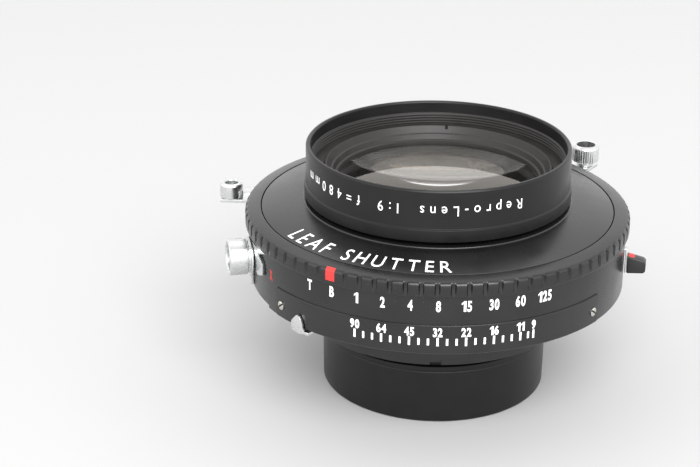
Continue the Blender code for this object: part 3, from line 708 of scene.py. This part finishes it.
housing = {"edge": 0.16, "profile": [
    (1.25, 0.0), (0.0, 0.0), (0.0, 14.9), (0.2, 15.1), (12.65, 15.1), (12.65, 17.2), (14.45, 17.2),
    (14.45, 21.9), (14.65, 22.1), (21.1, 22.1), (21.1, 13.6), (1.95, 13.6), (1.95, 7.5),
    (1.25, 7.5)]}
leverSlots = {"cocking": (119.0, 153.0, 41.7, 43.2), "release": (-115.0, -100.0, 41.7, 43.2),
              "preview": (78.2, 95.4, 40.8, 41.8)}
syncRecess = {"start": -94.0, "end": -59.2, "radius": 49.4, "bottom": 29.0, "top": 44.6}
slotInside, pastWall = 47.0, 51.5
cover = {"edge": 0.07, "profile": [
    (10.6, 0.1), (9.0, 0.1), (9.0, 2.4), (1.2, 1.1), (1.2, 0.0), (0.0, 0.0), (0.0, 2.3),
    (0.2, 2.36), (11.3, 4.45), (17.3, 4.5), (17.3, 4.1), (10.6, 3.8)]}

slotCutters = [sectorBlock(leverName + "Slot", slotInside, pastWall, *slot, 16)
               for leverName, slot in leverSlots.items()]
slotCutters.append(sectorBlock("syncRecess", syncRecess["radius"], pastWall, syncRecess["start"],
                               syncRecess["end"], syncRecess["bottom"], syncRecess["top"], 16))
turnedPiece("shutter_housing", housing, caseEnamel, cutters=slotCutters)
turnedPiece("front_cover", cover, caseEnamel)


def speedSector(name, low, pitch, slotted):
    # One pitch of the speed ring, with or without its grip slot, whose walls slope
    deep = ringShape["depth"] if slotted else 0.0
    wall = (ringShape["slot"] + ringShape["slope"]) / 2
    foot = (ringShape["slot"] - ringShape["slope"]) / 2
    rim = ringShape["rim"]
    bm = bmesh.new()
    columns = []
    for azimuth, share in ((-pitch / 2, 0), (-wall, 0), (-foot, 1), (0, 1), (foot, 1), (wall, 0),
                           (pitch / 2, 0)):
        floorRadius = rim - deep * share
        section = [(37.8, 0.0), (50.75, 0.0), (50.93, 0.06), (rim, 0.22), (rim, ringShape["slotFoot"]),
                   (floorRadius, ringShape["slotFloor"])]
        section += [(min(radius, floorRadius), rise) for radius, rise in ringShape["brow"]]
        section += [(50.1, 4.08), (47.0, 4.44), (46.9, 4.4), (46.9, 1.6), (37.8, 1.6)]
        columns.append([bm.verts.new(polar(radius, azimuth, low + rise)) for radius, rise in section])
    bridged(bm, columns)
    return asObject(name, bm)


ringShape = {"rim": 51.0, "slots": 82, "slot": 1.236, "slope": 0.34, "depth": 0.5, "slotFoot": 0.5,
             "slotFloor": 1.8, "mark": -31.13,
             "brow": ((51.0, 3.1), (50.9, 3.45), (50.7, 3.72), (50.4, 3.95))}
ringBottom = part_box("speed_ring")[0].z / mm
pitch = 360.0 / ringShape["slots"]
speedRing = grown("speed_ring_slotted", repeatRound, {
    "Piece": speedSector("slottedSector", ringBottom, pitch, True),
    "First Piece": speedSector("plainSector", ringBottom, pitch, False),
    "Count": ringShape["slots"], "Own First": 1, "First Azimuth": ringShape["mark"], "Step": pitch,
    "Finish": caseEnamel})
fitted(speedRing, None, "speed_ring", "speed_ring", "speed_ring", angle=28.0)
indexMark = {"azimuth": -31.5, "halfWidth": 1.45, "proud": 0.03, "bottom": 0.85}
proud = indexMark["proud"]
markSection = [(50.0, indexMark["bottom"]), (ringShape["rim"] + proud, indexMark["bottom"])]
markSection += [(radius + proud, rise + proud) for radius, rise in ringShape["brow"]]
markSection += [(50.1, 4.1), (50.0, 4.05)]
markBlock = sectorShape("index_mark", [(radius, ringBottom + rise) for radius, rise in markSection],
                        indexMark["azimuth"] - indexMark["halfWidth"],
                        indexMark["azimuth"] + indexMark["halfWidth"], 4)
fitted(markBlock, redFill, "speed_ring", "speed_ring", angle=25.0)
print("case and speed ring made")


speedMarks = {"height": 2.62, "narrow": 0.62, "bold": 0.12, "depth": 0.06, "gap": 0.28,
              "stem": 0.62, "rise": 11.55}
speedPitch = 7.87
speeds = ["T", "B", "1", "2", "4", "8", "15", "30", "60", "125"]
caseLow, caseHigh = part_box("shutter_housing")
lettering("speed_numerals", [(word, speedPitch * (n - 5)) for n, word in enumerate(speeds)],
          speedMarks, whiteFill, "case", "shutter_housing",
          aroundWall(caseHigh.x / mm, caseLow.z / mm + speedMarks["rise"]))

scalePlate = {"halfAngle": 53.8, "back": 50.1, "ease": 0.18}
plateLow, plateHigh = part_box("aperture_scale_plate")
plateRadius = -plateLow.y / mm
plateBottom, plateTop = plateLow.z / mm, plateHigh.z / mm
ease, plateBack = scalePlate["ease"], scalePlate["back"]
plateSection = [(plateBack, plateBottom), (plateRadius - ease, plateBottom),
                (plateRadius, plateBottom + ease), (plateRadius, plateTop - ease),
                (plateRadius - ease, plateTop), (plateBack, plateTop)]
plateBlock = sectorShape("aperture_scale_plate_curved", plateSection, -scalePlate["halfAngle"],
                         scalePlate["halfAngle"], 96)
fitted(plateBlock, plateEnamel, "case", "aperture_scale_plate", "aperture_scale_plate")

stopMarks = {"height": 2.15, "narrow": 0.72, "bold": 0.11, "depth": 0.06, "gap": 0.2,
             "stem": 0.52, "rise": 4.85}
stopPitch, widestStop, lastHalfStop = 7.93, 27.9, 26.2
stops = ["90", "64", "45", "32", "22", "16", "11"]
stopPlaces = [(word, stopPitch * (n - 3)) for n, word in enumerate(stops)] + [("9", widestStop)]
lettering("aperture_numerals", stopPlaces, stopMarks, whiteFill, "case", "aperture_scale_plate",
          aroundWall(plateRadius, plateBottom + stopMarks["rise"]))
tickShape = {"tall": (2.25, 4.5), "short": (2.45, 4.25), "halfWidth": 0.31, "proud": 0.03}
half = tickShape["halfWidth"]
for tickName, count, first, step, (bottom, top) in (
        ("tall_ticks", 7, -3 * stopPitch, stopPitch, tickShape["tall"]),
        ("short_ticks", 6, -3 * stopPitch + stopPitch / 3, stopPitch, tickShape["short"]),
        ("shorter_ticks", 6, -3 * stopPitch + 2 * stopPitch / 3, stopPitch, tickShape["short"]),
        ("end_tick", 1, widestStop, 1.0, tickShape["tall"]),
        ("last_short_tick", 1, lastHalfStop, 1.0, tickShape["short"])):
    tick = sectorBlock(tickName + "Bar", plateRadius - 0.03, plateRadius + tickShape["proud"], -half,
                       half, plateBottom + bottom, plateBottom + top, 1)
    row = grown(tickName, repeatRound, {"Piece": tick, "Count": count, "Own First": 0,
                                        "First Azimuth": first, "Step": step, "Finish": whiteFill})
    fitted(row, None, "case", "aperture_scale_plate", angle=25.0)

coverStyle = {"height": 4.6, "narrow": 0.76, "bold": 0.0, "depth": 0.06, "round": 43.0, "foot": 45.6,
              "coneEdge": 46.4, "coneFoot": 2.36, "slope": 0.192}
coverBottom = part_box("front_cover")[0].z / mm


def onCover(azimuth, point):
    # Letters stand on the cone with their tops towards the axis
    radius = coverStyle["foot"] - point.y
    turn = azimuth + math.degrees(point.x / coverStyle["round"])
    rise = coverStyle["coneFoot"] + (coverStyle["coneEdge"] - radius) * coverStyle["slope"]
    return polar(radius, turn, coverBottom + rise + point.z)


lettering("cover_lettering", [("LEAF SHUTTER", -26.5, 61.0)], coverStyle, whiteFill, "case",
          "front_cover", onCover)
syncLetter = {"height": 2.7, "narrow": 0.42, "bold": 0.1, "depth": 0.06, "gap": 0.0, "rise": 8.5}
lettering("sync_letter", [("X", -57.6)], syncLetter, redFill, "case", "shutter_housing",
          aroundWall(caseHigh.x / mm, caseLow.z / mm + syncLetter["rise"]))
print("scales and lettering made")


def knobPlace(node):
    # On the knob's own axis, at its bottom
    low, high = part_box(node)
    centre = (low + high) / 2 / mm
    return Matrix.Translation((centre.x, centre.y, low.z / mm))


knurledKnob = {"teeth": 34, "deep": 0.12, "wellFloor": 3.2}
cockingPlace = knobPlace("cocking_knob")


def knurlSector(name, pitch):
    bm = bmesh.new()
    columns = []
    for share, ridgeHere in ((-0.5, 0), (-0.22, 1), (0.22, 1), (0.5, 0)):
        drop = 0.0 if ridgeHere else knurledKnob["deep"]
        section = [(2.4, 0.0), (2.4, 1.1), (3.35, 1.15), (3.65, 1.35), (3.8 - drop, 1.55),
                   (3.8 - drop, 5.2), (3.65, 5.5), (3.45, 5.8), (3.1, 6.04), (2.8, 6.1),
                   (2.64, 6.0), (2.6, knurledKnob["wellFloor"])]
        columns.append([bm.verts.new(polar(radius, share * pitch, rise)) for radius, rise in section])
    centreLow = bm.verts.new((0.0, 0.0, 0.0))
    centreHigh = bm.verts.new((0.0, 0.0, knurledKnob["wellFloor"]))
    bridged(bm, columns, closed=False)
    for left, right in zip(columns, columns[1:]):
        bm.faces.new((centreLow, left[0], right[0]))
        bm.faces.new((centreHigh, right[-1], left[-1]))
    return asObject(name, bm)


knurlPitch = 360.0 / knurledKnob["teeth"]
knob = grown("cocking_knob_knurled", repeatRound, {
    "Piece": knurlSector("knurlSector", knurlPitch), "Count": knurledKnob["teeth"],
    "Own First": 0, "First Azimuth": 0.0, "Step": knurlPitch, "Finish": chromePlate})
knob.data.transform(Matrix.Translation(cockingPlace.translation * mm))
fitted(knob, None, "cocking_control", "cocking_knob", "cocking_knob", angle=22.0)
knobWell = asObject("cocking_knob_well", spun(
    [(0.0, 3.22), (2.55, 3.22), (2.55, 3.32), (0.0, 3.32)], 40), place=cockingPlace)
fitted(knobWell, insideLacquer, "cocking_control", "cocking_knob")

postShape = [(0.0, 0.0), (2.9, 0.0), (3.2, 0.25), (3.2, 3.7), (2.95, 4.2), (2.5, 4.35), (2.1, 4.3),
             (1.8, 4.0), (1.8, 1.35), (0.0, 1.35)]
post = asObject("release_knob_turned", spun(rounded(postShape, 0.1, closed=False), 64),
                place=knobPlace("release_knob"))
fitted(post, chromePlate, "release_control", "release_knob", "release_knob")

for node, body, edge in (("cocking_lever", "cocking_control", 0.22),
                         ("release_lever", "release_control", 0.22),
                         ("preview_lever", "blade_drive", 0.1)):
    softCopy(node, chromePlate, body, edge)
softCopy("preview_lever_tip", mouldedNylon, "blade_drive", 0.35, 3)

# A dab of red paint lies along the tip's sloping top, next to the wall
tipLow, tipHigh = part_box("preview_lever_tip")
tipCentre = (tipLow + tipHigh) / 2
tipAzimuth = math.degrees(math.atan2(tipCentre.x, -tipCentre.y))
tipMark = {"halfTurn": 1.3, "section": [(51.35, 38.9), (52.9, 38.9), (52.9, 39.08), (51.35, 39.44)]}
tipPaint = sectorShape("preview_tip_mark", tipMark["section"], tipAzimuth - tipMark["halfTurn"],
                       tipAzimuth + tipMark["halfTurn"], 2)
fitted(tipPaint, redFill, "blade_drive", "preview_lever_tip")

pointerShape = {"inner": 50.75, "outer": 51.4, "outline": [
    (-45.7, 30.3), (-45.5, 31.6), (-45.0, 32.2), (-43.7, 33.5), (-43.1, 33.8), (-42.4, 33.5),
    (-41.6, 32.5), (-41.15, 31.5), (-40.9, 30.3), (-40.6, 29.1), (-43.1, 28.8), (-45.1, 29.0)]}
# The CAD pointer is trimmed off the lever, and a leaf of the right outline takes its place
leafCutter = sectorBlock("pointerLeaf", pointerShape["inner"], 53.0, -52.0, -36.0, 28.0, 35.0)
softCopy("aperture_lever", chromePlate, "aperture_control", 0.12, cutters=[leafCutter])
leafOverlap = 0.05
pointer = wrappedSheet("aperture_pointer", pointerShape["outline"],
                       pointerShape["inner"] - leafOverlap, pointerShape["outer"])
fitted(eased(pointer, 0.14), chromePlate, "aperture_control", "aperture_lever")

bracketShape = {"azimuth": -76.2, "inner": 49.45, "outer": 50.25, "outline": [
    (-9.0, 37.0), (-1.6, 35.0), (-0.7, 30.4), (0.3, 30.4), (1.0, 35.4), (6.5, 36.6), (8.8, 36.3),
    (12.7, 37.6), (12.4, 40.8), (8.4, 42.4), (10.2, 42.7), (15.0, 44.4), (11.0, 44.4), (8.2, 44.0),
    (6.0, 43.6), (-9.0, 43.6)]}
bracket = wrappedSheet("sync_bracket", [(bracketShape["azimuth"] + turn, z)
                                        for turn, z in bracketShape["outline"]],
                       bracketShape["inner"], bracketShape["outer"])
fitted(eased(bracket, 0.1), chromePlate, "case", "sync_base", "sync_base")

syncShell = {"edge": 0.12, "profile": [
    (0.0, 0.0), (5.3, 0.0), (5.3, 0.5), (4.4, 0.6), (4.4, 1.1), (4.8, 1.3), (4.8, 5.8), (4.5, 6.1),
    (4.1, 6.1), (3.9, 5.8), (3.9, 1.6), (0.0, 1.6)]}
syncPlace = {"azimuth": -76.2, "height": 38.6, "base": 50.3}
socketFrame = outwardFrame(syncPlace["azimuth"], syncPlace["height"])
socketFrame = socketFrame @ Matrix.Translation((0.0, 0.0, syncPlace["base"]))
shell = asObject("sync_socket_turned", spun(rounded(syncShell["profile"], syncShell["edge"],
                                                    closed=False), 72), place=socketFrame)
fitted(shell, chromePlate, "case", "sync_socket", "sync_socket")

screwShape = {"seat": 50.57, "height": 33.6, "slotWidth": 0.46, "slotFloor": 0.12,
              "profile": [(0.0, 0.0), (1.15, 0.0), (1.15, 0.2), (0.95, 0.36), (0.5, 0.44), (0.0, 0.45)]}
for node, azimuth, roll in (("scale_plate_screw_1", -51.3, 40.0), ("scale_plate_screw_2", 51.3, -38.0)):
    place = outwardFrame(azimuth, screwShape["height"], roll)
    place = place @ Matrix.Translation((0.0, 0.0, screwShape["seat"]))
    head = asObject(node + "_slotted", spun(screwShape["profile"], 32), place=place)
    cutBy(head, [cuboid(node + "Slot", (3.0, screwShape["slotWidth"], 1.0),
                        (0.0, 0.0, 0.5 + screwShape["slotFloor"]), place)])
    fitted(head, nickelPlate, "case", node, node)
    # A thin mat black sheet on each slot floor is painted shade: it darkens the slot as a deeper slot's
    # shadow would
    paintedSlotShade = cuboid(node + "_grime", (2.2, screwShape["slotWidth"] * 0.98, 0.04),
                   (0.0, 0.0, screwShape["slotFloor"] + 0.03), place)
    fitted(paintedSlotShade, insideLacquer, "case", node)
print("controls made")


rearBarrel = {"edge": 0.14, "profile": [
    (3.4, 2.6), (2.8, 0.4), (2.4, 0.0), (0.8, 0.0), (0.35, 0.45), (0.2, 14.5), (0.35, 14.7),
    (0.2, 14.9), (0.2, 16.2), (1.6, 16.2), (1.6, 18.7), (0.0, 18.7), (0.0, 19.1), (1.45, 19.1),
    (1.45, 31.4), (3.4, 31.4)]}
mountRing = {"edge": 0.18, "halfNotch": 2.4, "notchDepth": 1.2,
             "profile": [(4.15, 0.0), (0.0, 0.0), (0.0, 5.0), (4.15, 5.0)]}
turnedPiece("rear_barrel", rearBarrel, blackBarrel)
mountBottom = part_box("retaining_ring")[0].z / mm
notches = [sectorBlock(f"notch{turn}", 33.6, 36.0, turn - mountRing["halfNotch"],
                       turn + mountRing["halfNotch"], mountBottom - 1.0,
                       mountBottom + mountRing["notchDepth"]) for turn in (0, 90, 180, 270)]
turnedPiece("retaining_ring", mountRing, blackRings, cutters=notches)
print("rear side made")


kept = {
    insideLacquer: ["front_spacer_ring", "front_inner_retainer", "rear_spacer_ring",
                    "rear_retaining_ring"],
    caseEnamel: ["rear_plate"],
    blackSteel: ["mechanism_plate"] + [f"shutter_blade_{n}" for n in range(1, 6)]
    + [f"iris_blade_{n}" for n in range(1, 8)] + [f"rear_plate_screw_{n}" for n in range(1, 5)],
    turnedBrass: ["blade_ring", "iris_ring", "cocking_gear", "retard_gear", "cocking_shaft",
                  "release_shaft", "retard_shaft"],
    chromePlate: ["cocking_spring", "release_spring", "sync_pin", "cable_release_socket"],
    mouldedNylon: ["sync_insulator"],
}
for look, nodes in kept.items():
    for node in nodes:
        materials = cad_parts[node].data.materials
        materials.clear()
        materials.append(look)


def paperFloor():
    # Matt white background paper: a very faint tooth
    look, tree, shader, place = startMaterial("whitePaper", {"Base Color": srgb("#b4b4b4"),
                                                             "Roughness": 0.85})
    tooth = addNode(tree, "ShaderNodeTexNoise", {"Vector": place, "Scale": perMetre(0.9)}).outputs[0]
    bump = addNode(tree, "ShaderNodeBump", {"Height": tooth, "Strength": 0.1,
                                            "Distance": 0.03 * mm}).outputs[0]
    tree.links.new(bump, shader.inputs["Normal"])
    bm = bmesh.new()
    bmesh.ops.create_grid(bm, x_segments=2, y_segments=2, size=3.0)
    floor = asObject("paper_floor", bm, 1.0)
    floor.data.materials.append(look)
    if floor.data.polygons[0].normal.z < 0:
        floor.data.flip_normals()


def softLight(name, place, target, size, power):
    lamp = bpy.data.lights.new(name, "AREA")
    lamp.shape = "RECTANGLE"
    lamp.size, lamp.size_y = size
    lamp.energy = power
    made = added(name, lamp)
    made.location = place
    aim = Vector(target) - Vector(place)
    made.rotation_euler = aim.to_track_quat("-Z", "Y").to_euler()


skyShape = {"strength": 2.05,
            "front": ((0.0, 0.85), (1.0, 0.3), (0.1, 0.95), (0.6, 0.9), (0.78, 0.3)),
            "back": ((0.0, 0.9), (1.0, 0.86), (0.12, 0.68), (0.45, 0.6), (0.55, 0.45), (0.7, 0.86))}


def studioSky():
    # Pale screens stand round the table, brightest in front, with a lit ceiling towards the back
    world = bpy.data.worlds.new("studioSky")
    world.use_nodes = True
    tree = world.node_tree
    direction = addNode(tree, "ShaderNodeTexCoord").outputs["Generated"]
    ways = addNode(tree, "ShaderNodeSeparateXYZ", {0: direction}).outputs
    front, back = [addNode(tree, "ShaderNodeValToRGB", {0: ways["Z"]}, stops=[
        (place, (share, share, share, 1.0)) for place, share in skyShape[half]]).outputs[0]
        for half in ("front", "back")]
    towardsBack = addNode(tree, "ShaderNodeMapRange", {0: ways["Y"], 1: -0.35, 2: 0.35}).outputs[0]
    shade = addNode(tree, "ShaderNodeMix", {0: towardsBack, 6: front, 7: back},
                    data_type="RGBA").outputs[2]
    background = tree.nodes["Background"]
    tree.links.new(shade, background.inputs["Color"])
    background.inputs["Strength"].default_value = skyShape["strength"]
    bpy.context.scene.world = world


cameraSetup = {"place": (-0.00933, -0.44519, 0.22881), "pan": -1.773, "tilt": 22.929, "roll": 0.431,
               "focal": 92.63, "sensor": 36.0}


def addCamera():
    pan, tilt, roll = (math.radians(cameraSetup[key]) for key in ("pan", "tilt", "roll"))
    right = Vector((math.cos(pan), -math.sin(pan), 0.0))
    level = Vector((math.sin(pan), math.cos(pan), 0.0))
    ahead = level * math.cos(tilt) - Vector((0.0, 0.0, math.sin(tilt)))
    up = Vector((0.0, 0.0, math.cos(tilt))) + level * math.sin(tilt)
    side = right * math.cos(roll) + up * math.sin(roll)
    top = up * math.cos(roll) - right * math.sin(roll)
    data = bpy.data.cameras.new("camera")
    data.lens = cameraSetup["focal"]
    data.sensor_width = cameraSetup["sensor"]
    data.clip_start = 0.01
    camera = added("camera", data)
    camera.matrix_world = Matrix.Translation(cameraSetup["place"]) @ Matrix(
        (side, top, -ahead)).transposed().to_4x4()
    bpy.context.scene.camera = camera


paperFloor()
studioSky()
softLight("softboxLeft", (-1.2, -0.6, 0.9), (0.0, 0.0, 0.03), (1.0, 0.8), 2.0)
softLight("softboxFront", (0.3, -1.3, 1.3), (0.0, 0.0, 0.0), (1.6, 1.0), 40.0)
addCamera()
bpy.context.scene.view_settings.view_transform = "Standard"
print("stage ready")
